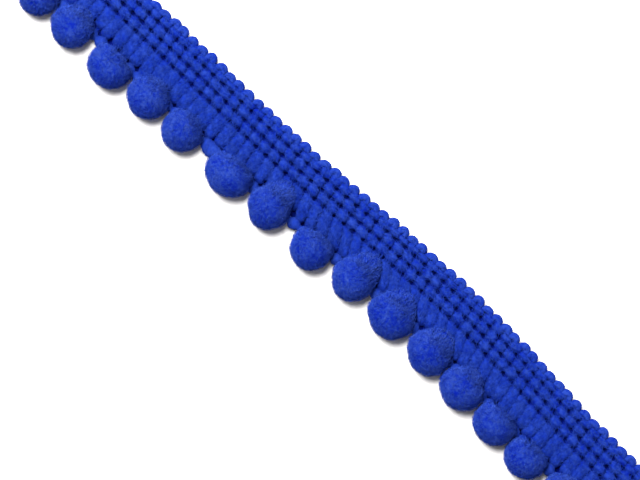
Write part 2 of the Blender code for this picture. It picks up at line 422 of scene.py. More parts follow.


# ---- materials

# The colour ramp, as places on it and the gain there on each part of the colour: its deep, purer end is
# painted shade where light has sunk in, and its pale end a painted highlight where light glances off fibre
# ends.
DYE_AND_SHADE_RAMP = (
    (0.0, (0.03, 0.29, 0.93)),
    (0.5, (1.0, 1.0, 1.0)),
    (1.0, (3.0, 1.85, 1.15)),
)

# How strongly each fibre's shade, the painted shade by depth and three sizes of mottling move a point along
# the ramp.
TONE_SHARE, PAINTED_SHADE_SHARE = 0.45, 0.45
PATCH_SHARE, TUFT_SHARE, FIBRE_SHARE = 0.6, 1.0, 0.8

ROUGHNESS, ROUGHNESS_SPREAD = 0.84, 0.12
FIBRE_SHINE = {"Specular IOR Level": 0.03, "Sheen Roughness": 0.45, "Sheen Tint": (0.06, 0.16, 1.0, 1.0)}


def shader_of(name):
    """A new material with its node tree and Principled shader."""
    material = bpy.data.materials.new(name)
    material.use_nodes = True
    tree = material.node_tree
    return material, tree, tree.nodes["Principled BSDF"]


def set_inputs(node, values):
    for name, value in values.items():
        node.inputs[name].default_value = value


def noise_of(tree, scale, detail, roughness=0.5):
    """A noise pattern on the piece's own Object coordinates."""
    where = tree.nodes.new("ShaderNodeTexCoord")
    pattern = tree.nodes.new("ShaderNodeTexNoise")
    set_inputs(pattern, {"Scale": scale, "Detail": detail, "Roughness": roughness})
    tree.links.new(where.outputs["Object"], pattern.inputs["Vector"])
    return pattern.outputs["Fac"]


def attribute_of(tree, name):
    node = tree.nodes.new("ShaderNodeAttribute")
    node.attribute_name = name
    return node.outputs["Fac"]


def weighted(tree, parts, offset):
    """offset plus each (output, weight) of parts, as one output."""
    total = None
    for output, weight in parts:
        step = tree.nodes.new("ShaderNodeMath")
        step.operation = "MULTIPLY_ADD"
        set_inputs(step, {1: weight, 2: offset})
        tree.links.new(output, step.inputs[0])
        if total is not None:
            tree.links.new(total, step.inputs[2])
        total = step.outputs["Value"]
    return total


def dye_and_shade(tree, value, colour):
    """The colour ramp for one colour, deep end painted shade, pale end painted highlight, read at value."""
    ramp = tree.nodes.new("ShaderNodeValToRGB")
    stops = ramp.color_ramp.elements
    stops.new(0.5)
    for stop, (position, gains) in zip(stops, DYE_AND_SHADE_RAMP):
        stop.position = position
        stop.color = [min(part * gain, 1.0) for part, gain in zip(colour, gains)] + [1.0]
    tree.links.new(value, ramp.inputs["Fac"])
    return ramp.outputs["Color"]


def add_yarn_material(name, colour, mottling=1.0, fuzz=0.10):
    """Dyed fibre: a shade for each fibre, painted shade low down, with mottling, fine relief and a slight
    sheen.
    """
    _, tree, shader = shader_of(name)
    patches = noise_of(tree, scale=500.0, detail=2.0)
    tufts = noise_of(tree, scale=2300.0, detail=3.0)
    fibres = noise_of(tree, scale=5200.0, detail=5.0, roughness=0.65)
    parts = ((attribute_of(tree, "tone"), TONE_SHARE), (attribute_of(tree, "depth"), PAINTED_SHADE_SHARE))
    mottles = ((patches, PATCH_SHARE), (tufts, TUFT_SHARE), (fibres, FIBRE_SHARE))
    parts += tuple((pattern, share * mottling) for pattern, share in mottles)
    middle = 0.5 - 0.5 * sum(weight for _, weight in parts)
    tree.links.new(dye_and_shade(tree, weighted(tree, parts, middle), colour), shader.inputs["Base Color"])
    bump = tree.nodes.new("ShaderNodeBump")
    set_inputs(bump, {"Strength": 0.6, "Distance": 0.08 * MM})
    tree.links.new(fibres, bump.inputs["Height"])
    tree.links.new(bump.outputs["Normal"], shader.inputs["Normal"])
    rough = weighted(tree, [(patches, ROUGHNESS_SPREAD)], ROUGHNESS)
    tree.links.new(rough, shader.inputs["Roughness"])
    set_inputs(shader, {**FIBRE_SHINE, "Sheen Weight": fuzz})


# ---- settings

class TrimYarnSettings(bpy.types.PropertyGroup):
    colour: FloatVectorProperty(
        name="Yarn colour", description="Colour of the yarn of the heading and its loops",
        subtype="COLOR", size=3, min=0.0, max=1.0, default=(0.0039, 0.0174, 0.190))
    fibres: IntProperty(
        name="Fibres", description="Short fibres on the heading and its loops",
        default=14000, min=0, max=16000)
    fibre_length: FloatProperty(
        name="Fibre length", description="Length of the short fibres",
        default=1.2 * MM, min=0.2 * MM, max=3.0 * MM, unit="LENGTH")
    fibre_radius: FloatProperty(
        name="Fibre radius", description="Half the thickness of a short fibre",
        default=0.055 * MM, min=0.01 * MM, max=0.2 * MM, unit="LENGTH")
    binding_radius: FloatProperty(
        name="Binding thread radius", description="Half the thickness of the thread that binds the picks",
        default=0.08 * MM, min=0.02 * MM, max=0.5 * MM, unit="LENGTH")
    stray_fibres: IntProperty(
        name="Stray fibres", description="Loose fibres that stand off the heading and its loops",
        default=2500, min=0, max=12000)


class TrimPompomSettings(bpy.types.PropertyGroup):
    colour: FloatVectorProperty(
        name="Pile colour", description="Colour of the pompoms' cut pile",
        subtype="COLOR", size=3, min=0.0, max=1.0, default=(0.0066, 0.0224, 0.186))
    pile_count: IntProperty(
        name="Pile tufts", description="Cut tufts on each pompom", default=4000, min=100, max=6000)
    pile_length: FloatProperty(
        name="Pile length", description="How deep the cut pile is",
        default=0.75 * MM, min=0.1 * MM, max=2.0 * MM, unit="LENGTH")
    pile_radius: FloatProperty(
        name="Tuft radius", description="Half the thickness of a cut tuft at its root",
        default=0.110 * MM, min=0.01 * MM, max=0.3 * MM, unit="LENGTH")
    pile_tilt: FloatProperty(
        name="Pile tilt", description="How far the tufts lie over from upright",
        default=math.radians(28.0), min=0.0, max=math.radians(80.0), subtype="ANGLE")
    lying_fibres: IntProperty(
        name="Lying fibres", description="Thin fibres that lie over the tufts of each pompom",
        default=260, min=0, max=3000)


class TrimStageSettings(bpy.types.PropertyGroup):
    floor_colour: FloatVectorProperty(
        name="Floor colour", description="Colour of the plain pale floor",
        subtype="COLOR", size=3, min=0.0, max=1.0, default=(0.860, 0.838, 0.806))
    key_power: FloatProperty(
        name="Key light", description="Power of the soft light from the picture's top left",
        default=12.1, min=0.0, unit="POWER")
    fill_strength: FloatProperty(
        name="Fill light", description="Strength of the even light from all round", default=0.26, min=0.0)
    lens: FloatProperty(
        name="Lens", description="Focal length of the camera, in mm", default=180.0, min=20.0)
    roll: FloatProperty(
        name="Camera roll", description="Angle of the trim to the picture's lower edge",
        default=math.radians(43.84), subtype="ANGLE")


# ---- heading pieces

def pick_profile(across, slack):
    """Half width, top and underside of a pick at distances across; slack loosens each of its pinches."""
    places = [section.across * MM for section in SECTIONS]
    half_width, top, underside = (
        eased(across, places, [getattr(section, part) * MM for section in SECTIONS])
        for part in ("half_width", "top", "underside"))
    for pinch, loose in zip(PINCHES, slack):
        away = across / MM - pinch.across
        narrowed = np.exp(-(away / pinch.reach) ** 4)
        pressed = np.exp(-(away / pinch.dip_reach) ** 2)
        half_width = half_width + ((pinch.half_width + loose) * MM - half_width) * narrowed
        top = top + ((pinch.top + loose) * MM - top) * pressed
    past = np.clip((across - BEND_END + BEND_ROUNDING) / BEND_ROUNDING, 0.0, 1.0)
    rounded = np.sqrt(1.0 - past ** 2)
    half_width = NECK_HALF_WIDTH + (half_width - NECK_HALF_WIDTH) * rounded
    top = NECK_TOP + (top - NECK_TOP) * rounded
    underside = underside + NECK_LIFT * (1.0 - rounded)
    return half_width, top, underside


# The ground shows at the one height between the picks, and no fibre dips below the other, into a pit.
GROUND_TOP = 0.60 * MM
PIT_TOP = 1.05 * MM

# How far the picks differ from each other.
SLACK_SPREAD_MM = 0.12
REACH_SPREAD = 0.20 * MM
PLUMPNESS, LOOP_PLUMPNESS, TOP_RISE = 0.04, 0.06, 0.05
SWAY, SWAY_FREQUENCY = 0.08 * MM, 1.3
LOOP_SHIFT = 0.16 * MM

PICK_POINTS = 60
PICK_START = SELVEDGE_CREASE - 0.12 * MM
PICK_OVERHANG = 0.15 * MM  # how far a pick at a cut end may bulge past it

# The felted fibres: how widely their bearings spread, how much they bridge hollows (1 is straight across),
# how far they bow sideways, as a share of their reach, and how loosely they and their ends lie.
FELT_SPREAD, FELT_STIFFNESS, FELT_BOW = 0.65, 0.25, 0.2
FELT_LOFT, FELT_LOOSE_END = 0.05 * MM, 0.04 * MM
FELT_MARGIN = 0.3 * MM


class Picks:
    """The thick picks of yarn, one a course, from the selvedge out to the chain and never two quite alike."""

    def __init__(self):
        rng = np.random.default_rng(11)
        spreads = rng.standard_normal((6, COURSES))
        self.plump, self.loop_plump, self.rise, self.sway, self.phase, self.reach = spreads
        self.slack = SLACK_SPREAD_MM * rng.standard_normal((len(PINCHES), COURSES))
        self.across = np.linspace(PICK_START, CHAIN_ACROSS, PICK_POINTS)
        pick = np.arange(COURSES)[:, None]
        station, half_width, top, underside = self.shape(pick, self.across[None, :])
        middle = place(station, self.across, 0.5 * (top + underside))
        self.yarn = Yarn(middle, np.array([1.0, 0.0, 0.0]), half_width, 0.5 * (top - underside), rng)

    def shape(self, pick, across):
        """Station, half width, top and underside of picks at distances across."""
        loop = loop_share(across)
        stretched = across - REACH_SPREAD * self.reach[pick] * loop
        half_width, top, underside = pick_profile(stretched, self.slack[:, pick])
        plump = PLUMPNESS * self.plump[pick] + LOOP_PLUMPNESS * self.loop_plump[pick] * loop
        half_width = half_width * (1.0 + plump)
        top = top * (1.0 + TOP_RISE * self.rise[pick])
        sway = SWAY * self.sway[pick] * np.sin(across / MM * SWAY_FREQUENCY + self.phase[pick])
        shift = LOOP_SHIFT * self.phase[pick] * loop
        station = -0.5 * LENGTH + (pick + 0.5) * COURSE_PITCH + sway + shift
        inside = np.clip(0.5 * LENGTH - np.abs(station), 0.0, None)
        return station, np.minimum(half_width, inside + PICK_OVERHANG), top, underside

    def height(self, station, across):
        """How high the picks stand at stations and distances across; the ground shows in the pits."""
        nearest = np.floor((station + 0.5 * LENGTH) / COURSE_PITCH).astype(int)
        highest = np.full(station.shape, GROUND_TOP)
        for step in (-1, 0, 1):
            pick = np.clip(nearest + step, 0, COURSES - 1)
            middle, half_width, top, underside = self.shape(pick, across)
            aside = np.clip(np.abs(station - middle) / half_width, 0.0, 1.0)
            crown = 0.5 * (top - underside) * (1.0 - aside ** SQUARENESS) ** (1.0 / SQUARENESS)
            crest = 0.5 * (top + underside) + crown
            highest = np.where(aside < 1.0, np.maximum(highest, crest), highest)
        return highest

    def felt(self, settings, rng, low, high, bearing):
        """Rings of short fibres laid over the picks at about one bearing, clear of the pits."""
        count, length = settings.fibres // 2, settings.fibre_length
        heading = bearing + FELT_SPREAD * rng.standard_normal(count)
        reach = fibre_reach(length, count, rng)
        run = reach[:, None] * FIBRE_STEPS
        bowed = (FELT_BOW * reach * rng.standard_normal(count))[:, None] * (1.0 - FIBRE_STEPS ** 2)
        cosine, sine = np.cos(heading)[:, None], np.sin(heading)[:, None]
        station = rng.uniform(-0.5, 0.5, (count, 1)) * (LENGTH - length) + run * cosine - bowed * sine
        across = rng.uniform(low, high, (count, 1)) + run * sine + bowed * cosine
        surface = self.height(station, across)
        straight = surface[:, :1] + (surface[:, 2:] - surface[:, :1]) * (0.5 + 0.5 * FIBRE_STEPS)
        height = surface + FELT_STIFFNESS * np.maximum(straight - surface, 0.0)
        height = height + FELT_LOFT * rng.random((count, 1))
        height = height + FELT_LOOSE_END * rng.random((count, 1)) * FIBRE_STEPS
        paths = place(station, across, height)[surface.min(axis=1) > PIT_TOP]
        return fibre_rings(paths, settings.fibre_radius, rng)


# The picks' two stretches: the yarn's mottling, and the fibres' bearing in degrees and middle tone.
Stretch = namedtuple("Stretch", "name yarn mottling bearing tone")
STRETCHES = (
    Stretch("heading_stitches", "heading yarn", 1.7, 25.0, 0.65),
    Stretch("finger_loops", "loop yarn", 1.25, 100.0, 0.38),
)


class TRIM_OT_heading_picks(bpy.types.Operator):
    """Thick picks of yarn: three rows of stitches that the binding pinches, and the finger loops"""
    bl_idname = "trim.heading_picks"
    bl_label = "Heading picks"

    def execute(self, context):
        settings = context.scene.trim_yarn
        picks = Picks()
        turn = int(np.searchsorted(picks.across, THIRD_PITS))
        points = (slice(turn + 1), slice(turn, None))
        felted = ((picks.across[0] + FELT_MARGIN, THIRD_PITS), (THIRD_PITS, BEND_END - FELT_MARGIN))
        rng = np.random.default_rng(21)
        for stretch, run, (low, high) in zip(STRETCHES, points, felted):
            add_yarn_material(stretch.yarn, settings.colour, stretch.mottling, fuzz=0.15)
            bundle = Bundle()
            bundle.add_yarn(picks.yarn, sides=20, tone=0.25, stretch=run)
            felt = picks.felt(settings, rng, low, high, math.radians(stretch.bearing))
            bundle.add_rings(felt, stretch.tone + TONE_SPREAD * (rng.random((len(felt), 1, 1)) - 0.5))
            add_piece(bundle.mesh(stretch.name), stretch.yarn)
        return {"FINISHED"}


SCALLOP_POINTS = 14
SCALLOP_ACROSS = 1.28 * MM
SCALLOP_RISE, SCALLOP_RISE_SPREAD = 0.66 * MM, 0.15
SCALLOP_HALF_SPAN, SCALLOP_SPAN_SPREAD = 0.30 * COURSE_PITCH, 0.10
SCALLOP_DRIFT = 0.09 * MM
SCALLOP_HEIGHT, SCALLOP_ARCH = 0.96 * MM, 0.08 * MM
SCALLOP_HALF_WIDTH, SCALLOP_HALF_HEIGHT = 0.62 * MM, 0.80 * MM


class TRIM_OT_selvedge_scallops(bpy.types.Operator):
    """The yarn's turns along the selvedge, one scallop between each two picks"""
    bl_idname = "trim.selvedge_scallops"
    bl_label = "Selvedge scallops"

    def execute(self, context):
        settings = context.scene.trim_yarn
        rng = np.random.default_rng(41)
        crest = np.arange(COURSES + 1)[:, None]
        start = np.where(crest == 0, 0.5, 0.0)
        stop = np.where(crest == COURSES, 0.5, 1.0)
        turn = np.pi * (start + (stop - start) * np.linspace(0.0, 1.0, SCALLOP_POINTS))
        rise = SCALLOP_RISE * (1.0 + SCALLOP_RISE_SPREAD * rng.standard_normal(crest.shape))
        half_span = SCALLOP_HALF_SPAN * (1.0 + SCALLOP_SPAN_SPREAD * rng.standard_normal(crest.shape))
        inner = (crest > 0) & (crest < COURSES)
        drift = SCALLOP_DRIFT * rng.standard_normal(crest.shape) * inner
        station = -0.5 * LENGTH + crest * COURSE_PITCH + drift - half_span * np.cos(turn)
        across = SCALLOP_ACROSS - rise * np.sin(turn)
        middle = place(station, across, SCALLOP_HEIGHT + SCALLOP_ARCH * np.sin(turn))
        side = np.stack([-np.cos(turn), np.sin(turn), 0.0 * turn], axis=-1)
        plump = 0.9 + 0.1 * np.sin(turn)
        yarn = Yarn(middle, side, SCALLOP_HALF_WIDTH * plump, SCALLOP_HALF_HEIGHT * plump, rng)
        bundle = Bundle()
        # Painted highlight: the scallops and their fibres are painted lighter than the picks, for their lit
        # rims.
        bundle.add_yarn(yarn, sides=16, tone=0.7)
        bundle.add_fibres(
            yarn, rng, count=1300, length=0.7 * settings.fibre_length, radius=settings.fibre_radius,
            slant=0.35, loft=0.05, tone=0.9)
        add_piece(bundle.mesh("selvedge_scallops"), "heading yarn")
        return {"FINISHED"}


GROUND_START, GROUND_END = 0.75 * MM, CHAIN_ACROSS - 0.35 * MM
GROUND_HEIGHT, GROUND_RIPPLE, GROUND_THICKNESS = 0.35 * MM, 0.05 * MM, 0.25 * MM
# Painted shade: the ground is painted darker than the yarn, for the shade down in the pits.
GROUND_PAINTED_SHADE = 0.6


class TRIM_OT_heading_ground(bpy.types.Operator):
    """Knitted ground under the picks: the thin sheet that the pits look down on"""
    bl_idname = "trim.heading_ground"
    bl_label = "Heading ground"

    def execute(self, context):
        settings = context.scene.trim_yarn
        bm = bmesh.new()
        bmesh.ops.create_grid(bm, x_segments=COURSES * 2, y_segments=14, size=0.5)
        for vertex in bm.verts:
            across = GROUND_START + (0.5 - vertex.co.y) * (GROUND_END - GROUND_START)
            x = vertex.co.x * (LENGTH - 2.0 * CUT_END_INSET)
            ripple = GROUND_RIPPLE * math.sin(math.tau * x / COURSE_PITCH)
            vertex.co = place(x, across, GROUND_HEIGHT + ripple)
        bmesh.ops.solidify(bm, geom=bm.faces[:], thickness=GROUND_THICKNESS)
        bmesh.ops.recalc_face_normals(bm, faces=bm.faces[:])
        mesh = bpy.data.meshes.new("heading_ground")
        bm.to_mesh(mesh)
        bm.free()
        mesh.shade_smooth()
        add_yarn_material("heading ground", [GROUND_PAINTED_SHADE * part for part in settings.colour])
        ground = add_piece(mesh, "heading ground")
        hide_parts("heading")
        return {"FINISHED"}


# Two binding threads run side by side along each row of pits, in mm: how far from its line, and how much
# further over the picks; how high in the pits, and how far under the picks' pinched tops.
BINDING_ASIDE_MM, BINDING_SPREAD_MM = 0.06, 0.06
BINDING_LOW_MM, BINDING_UNDER_TOP_MM = 0.2, 0.05
BINDING_STEEPNESS = 1.6
BINDING_STEPS = 8


class TRIM_OT_binding_stitches(bpy.types.Operator):
    """Binding thread that crosses each pick in the creases and dives into the pits"""
    bl_idname = "trim.binding_stitches"
    bl_label = "Binding stitches"

    def execute(self, context):
        settings = context.scene.trim_yarn
        x = np.linspace(-0.5, 0.5, COURSES * BINDING_STEPS + 1) * (LENGTH - 2.0 * CUT_END_INSET)
        arch = course_wave(x)
        bundle = Bundle()
        for pinch in PINCHES[1:]:
            for side in (-1.0, 1.0):
                across = (pinch.across + side * (BINDING_ASIDE_MM + BINDING_SPREAD_MM * arch)) * MM
                climb = pinch.top - BINDING_UNDER_TOP_MM - BINDING_LOW_MM
                height = (BINDING_LOW_MM + climb * arch ** BINDING_STEEPNESS) * MM
                path = place(x, across, height)[None]
                bundle.add_rings(rings_along(path, settings.binding_radius, sides=4), tone=0.3)
        add_piece(bundle.mesh("binding_stitches"), "heading yarn")
        return {"FINISHED"}


CHAIN_STEPS = 10
CHAIN_WIDENING = 1.12  # the chain's width over its height
CHAIN_DROP = 0.12 * MM  # how far it hangs past its even line


class TRIM_OT_tie_chain(bpy.types.Operator):
    """The knobbed chain that closes the loops and carries the pompoms"""
    bl_idname = "trim.tie_chain"
    bl_label = "Tie chain"

    def execute(self, context):
        settings = context.scene.trim_yarn
        rng = np.random.default_rng(51)
        x = np.linspace(-0.5 * LENGTH, 0.5 * LENGTH, COURSES * CHAIN_STEPS + 1)[None]
        radius = NECK_RADIUS + (KNOB_RADIUS - NECK_RADIUS) * course_wave(x) ** 0.9
        away = np.abs(x - LONG_KNOT_STATION) / LONG_KNOT_REACH
        long_knot = LONG_KNOT_RADIUS * np.clip(1.0 - away ** 2, 0.0, 1.0) ** 0.6
        radius = np.where(away < 1.0, np.maximum(long_knot, NECK_RADIUS), radius)
        across = CHAIN_ACROSS + CHAIN_DROP + np.maximum(radius - KNOB_RADIUS, 0.0)
        middle = place(x, across, CHAIN_HEIGHT)
        yarn = Yarn(
            middle, np.array([0.0, 1.0, 0.0]), CHAIN_WIDENING * radius, radius, rng,
            squareness=2.0, unevenness=0.08)
        bundle = Bundle()
        bundle.add_yarn(yarn, sides=12, tone=0.6)
        bundle.add_fibres(
            yarn, rng, count=3200, length=0.6 * settings.fibre_length, radius=0.8 * settings.fibre_radius,
            slant=1.0, loft=0.08, tone=0.6)
        add_yarn_material("chain yarn", settings.colour)
        chain = add_piece(bundle.mesh("tie_chain_yarn"), "chain yarn")
        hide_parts("tie_chain")
        return {"FINISHED"}


class TRIM_OT_stray_fibres(bpy.types.Operator):
    """Fine loose fibres that stand off the stitches and the loops, and thicker ones at the cut ends"""
    bl_idname = "trim.stray_fibres"
    bl_label = "Stray fibres"

    def execute(self, context):
        settings = context.scene.trim_yarn
        rng = np.random.default_rng(61)
        yarn = Picks().yarn
        bundle = Bundle()
        bundle.add_fibres(
            yarn, rng, count=settings.stray_fibres, length=0.9 * settings.fibre_length, radius=0.022 * MM,
            slant=0.8, loft=0.22)
        bundle.add_fibres(
            yarn, rng, count=700, length=0.7 * settings.fibre_length, radius=0.045 * MM,
            slant=1.2, loft=0.06, among=(0, COURSES - 1))
        add_piece(bundle.mesh("stray_fibres"), "heading yarn")
        return {"FINISHED"}


# ---- pompoms

FLOOR_CLEARANCE = 0.02 * MM
ROOT_CLEARANCE = 0.15 * MM
ROUNDNESS = 2.13  # 2 is a true ball, and more is squarer
UNEVEN_FORM = ((0.025, 1.5), (0.016, 7.0))  # strength and frequency of its lumps and of its bumps

# Where the pile is drawn out or pressed in, in degrees: the bearing of the place's middle from the loops
# and its reach to either side, then how far its middle is below the ball's own and its reach up and down.
Patch = namedtuple("Patch", "bearing reach below rise_reach")
NECK_PATCH = Patch(0.0, 60.0, 14.0, 36.0)
CORNER_PATCH = Patch(50.0, 35.0, 18.0, 62.0)
SHOULDER_PATCH = Patch(78.0, 42.0, 18.0, 62.0)
PRESSED_PATCH = Patch(-138.0, 48.0, 0.0, 80.0)
SHOULDERS = 0.26 * MM
PRESSED_IN, PRESSED_BY_NECK = 0.07 * MM, 0.11


def patch_share(patch, bearing, rise):
    """1 in the middle of the patch, easing off to 0 at its reaches."""
    middle, reach, below, rise_reach = (math.radians(angle) for angle in patch)
    return swell(bearing - middle, reach) * swell(rise + below, rise_reach)


def even_directions(count, rng):
    """Directions spread evenly over a ball, a little jittered."""
    k = np.arange(count) + 0.5
    z = 1.0 - 2.0 * k / count
    turn = np.pi * (1.0 + math.sqrt(5.0)) * k
    level = np.sqrt(1.0 - z * z)
    directions = np.stack([level * np.cos(turn), level * np.sin(turn), z], axis=-1)
    return unit(directions + rng.standard_normal((count, 3)) * 0.5 / math.sqrt(count))


class Ball:
    """A clipped pompom's outer form: an uneven ball, drawn out to the loops that carry it."""

    def __init__(self, number, row):
        x = (number - 0.5) * POMPOM_PITCH - 0.5 * LENGTH + row.drift * MM
        self.centre = np.array([x, SELVEDGE_Y + float(bow(x)) - row.hang * MM, 0.5 * POMPOM_HEIGHT])
        self.radii = 0.5 * np.array([row.wide * MM, row.long * MM, POMPOM_HEIGHT])
        cosine, sine = math.cos(math.radians(row.turn)), math.sin(math.radians(row.turn))
        self.turned = np.array([[cosine, sine, 0.0], [-sine, cosine, 0.0], [0.0, 0.0, 1.0]])
        self.shift = Vector((7.3 * number, 2.1, 0.0))
        self.neck, self.corners = row.neck * MM, row.corners * MM

    def noise_at(self, directions, frequency):
        values = [noise.noise(Vector(each) * frequency + self.shift) for each in directions.reshape(-1, 3)]
        return np.array(values).reshape(directions.shape[:-1])

    def skin(self, directions, inset=0.0, out=0.0):
        """Points on the ball in these directions, moved in by inset and outwards by out."""
        uneven = sum(strength * self.noise_at(directions, frequency) for strength, frequency in UNEVEN_FORM)
        level = np.hypot(directions[..., 0], directions[..., 1])
        upright = np.abs(directions[..., 2])
        share = (1.0 + uneven) * (level ** ROUNDNESS + upright ** ROUNDNESS) ** (-1.0 / ROUNDNESS)
        bearing = np.arctan2(directions[..., 0], directions[..., 1])
        rise = np.arcsin(np.clip(directions[..., 2], -1.0, 1.0))
        out = np.asarray(out) + self.neck * patch_share(NECK_PATCH, bearing, rise)
        out = out + self.corners * patch_share(CORNER_PATCH, np.abs(bearing), rise)
        out = out + SHOULDERS * patch_share(SHOULDER_PATCH, np.abs(bearing), rise)
        out = out - (PRESSED_IN + PRESSED_BY_NECK * self.neck) * patch_share(PRESSED_PATCH, bearing, rise)
        points = directions * (self.radii - inset) * share[..., None] + directions * out[..., None]
        points = self.centre + points @ self.turned
        points[..., 2] = np.maximum(points[..., 2], FLOOR_CLEARANCE)
        return points


MIDDLE_INSET = 0.28  # how far the firm middle lies under the tufts' ends, as a share of the pile's depth

# Where a tuft points further to the loops than a number drawn from this range, a second one joins it.
EXTRA_RANGE, EXTRA_JITTER = (0.3, 1.6), 0.04
TUFT_LENGTHS, TUFT_THICKNESSES, TILT_SPREAD = (0.75, 1.15), (0.7, 1.3), 0.7
TUFT_SPREAD, LOOPWARD_GROWTH = 0.04 * MM, 0.20 * MM
STRAY_TUFTS, STRAY_REACH, STRAY_THICKNESS = 0.12, 0.30 * MM, 0.6
# Painted light: tufts towards the loops are painted lighter, more so on a longer neck, against the shade
# among them.
NECK_PAINTED_LIGHT, NECK_PAINTED_LIGHT_PER_MM = 0.12, 0.32
# Painted shade: a tuft's three root points are darker than its tip.
TUFT_SHADE_DEPTHS = [0.45, 0.45, 0.45, 1.0]  # three points at the root and the tip

LYING_RADIUS, LYING_LIFT = 0.030 * MM, 0.05 * MM
LYING_SWEEP = (0.10, 0.26)
# The fibres over the join with the loops: their bearings and rises on the ball in degrees, and their ends.
JOIN_FIBRES, JOIN_RADIUS = 40, 0.035 * MM
JOIN_BEARINGS, JOIN_RISES, JOIN_LENGTHS_MM = (55.0, 125.0), (5.0, 55.0), (0.5, 1.3)
JOIN_LOWEST = 1.7 * MM


class TRIM_OT_pompoms(bpy.types.Operator):
    """Clipped pompoms: a firm middle under thousands of short cut tufts and fibres that lie over them"""
    bl_idname = "trim.pompoms"
    bl_label = "Pompoms"

    def execute(self, context):
        settings = context.scene.trim_pompoms
        add_yarn_material("clipped pile", settings.colour, mottling=2.2, fuzz=0.5)
        for number, row in enumerate(POMPOMS, start=1):
            name = f"pompom_{number:02d}"
            rng = np.random.default_rng(100 + number)
            mesh = self.pompom_mesh(f"{name}_pile", settings, Ball(number, row), rng)
            piece = add_piece(mesh, "clipped pile")
            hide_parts(name)
        return {"FINISHED"}

    def pompom_mesh(self, name, settings, ball, rng):
        bundle = Bundle()
        self.add_middle(bundle, ball, MIDDLE_INSET * settings.pile_length)
        self.add_tufts(bundle, ball, settings, rng)
        self.add_lying_fibres(bundle, ball, settings, rng)
        self.add_join_fibres(bundle, ball, rng)
        return bundle.mesh(name)

    def add_middle(self, bundle, ball, inset):
        """The firm middle of the ball, under the tufts' ends, painted dark for the shade between them."""
        bm = bmesh.new()
        bmesh.ops.create_icosphere(bm, subdivisions=5, radius=1.0)
        directions = unit(np.array([vertex.co for vertex in bm.verts]))
        faces = np.array([[vertex.index for vertex in face.verts] for face in bm.faces])
        bm.free()
        bundle.add_part(ball.skin(directions, inset), [faces], tone=0.4, depth=0.3)

    def add_tufts(self, bundle, ball, settings, rng):
        """Short cut tufts, each leaning its own way; longer, closer and painted lighter by the loops."""
        outward = even_directions(settings.pile_count, rng)
        extra = outward[outward[:, 1] > rng.uniform(*EXTRA_RANGE, len(outward))]
        extra = unit(extra + EXTRA_JITTER * rng.standard_normal(extra.shape))
        outward = np.concatenate([outward, extra])
        count = len(outward)
        to_loops = np.clip(outward[:, 1], 0.0, 1.0) ** 2 * (outward[:, 2] > -0.2)
        stray = rng.random(count) < STRAY_TUFTS
        out = TUFT_SPREAD * rng.standard_normal(count)
        out = out + (LOOPWARD_GROWTH * to_loops + STRAY_REACH * stray) * rng.random(count)
        tips = ball.skin(outward, out=out)
        slant = np.tan(settings.pile_tilt) * TILT_SPREAD * rng.standard_normal((count, 3))
        along = outward @ ball.turned
        back = unit(along + slant - along * np.sum(slant * along, axis=-1, keepdims=True))
        roots = tips - back * settings.pile_length * rng.uniform(*TUFT_LENGTHS, (count, 1))
        roots[:, 2] = np.maximum(roots[:, 2], ROOT_CLEARANCE)
        thick = settings.pile_radius * rng.uniform(*TUFT_THICKNESSES, count)
        thick[stray] *= STRAY_THICKNESS
        # Painted light on the tufts towards the loops, lifting the shade there.
        neck_painted_light = NECK_PAINTED_LIGHT + NECK_PAINTED_LIGHT_PER_MM * max(ball.neck, 0.0) / MM
        bundle.add_spikes(roots, tips, thick, rng.random(count) + neck_painted_light * to_loops, TUFT_SHADE_DEPTHS)

    def add_lying_fibres(self, bundle, ball, settings, rng):
        """Thin fibres brushed flat over the cut ends, every way round."""
        count = settings.lying_fibres
        start = unit(rng.standard_normal((count, 3)))
        side = unit(np.cross(start, rng.standard_normal((count, 3))))
        sweep = rng.uniform(*LYING_SWEEP, (count, 1, 1))
        bend = unit(np.cross(start, side)) * 0.5 * rng.standard_normal((count, 1))
        steps = FIBRE_STEPS[:, None]
        bow_out = (1.0 - steps ** 2) * sweep * bend[:, None]
        directions = unit(start[:, None] + side[:, None] * sweep * steps + bow_out)
        lift = LYING_LIFT + LYING_LIFT * rng.standard_normal((count, 1)) * (0.3 + FIBRE_STEPS)
        rings = fibre_rings(ball.skin(directions, out=lift), LYING_RADIUS, rng)
        # The lying fibres get little painted shade, near the palest end.
        bundle.add_rings(rings, tone=0.2 + 0.6 * rng.random((count, 1, 1)), depth=0.9)

    def add_join_fibres(self, bundle, ball, rng):
        """Fibres that run from the pile out over the ends of the finger loops and hide the join."""
        bearing = np.radians(rng.uniform(*JOIN_BEARINGS, JOIN_FIBRES))
        rise = np.radians(rng.uniform(*JOIN_RISES, JOIN_FIBRES))
        level = np.cos(rise)
        away = np.stack([np.cos(bearing) * level, np.sin(bearing) * level, np.sin(rise)], axis=-1)
        start = ball.skin(away, out=0.02 * MM)
        reach = rng.uniform(*JOIN_LENGTHS_MM, JOIN_FIBRES)[:, None] * MM
        fall = -0.8 - 0.5 * rng.random(JOIN_FIBRES)
        flow = unit(np.stack([0.5 * np.cos(bearing), np.ones(JOIN_FIBRES), fall], axis=-1))
        flow = unit(flow + 0.35 * rng.standard_normal((JOIN_FIBRES, 3)))
        middle = start + 0.5 * reach * unit(flow + away)
        end = middle + 0.5 * reach * flow
        end[:, 2] = np.maximum(end[:, 2], JOIN_LOWEST)
        rings = fibre_rings(np.stack([start, middle, end], axis=1), JOIN_RADIUS, rng, ROOTED_TAPER)
        # The join fibres get a middling painted shade.
        bundle.add_rings(rings, tone=0.5 + 0.6 * rng.random((JOIN_FIBRES, 1, 1)), depth=0.6)


# ---- stage

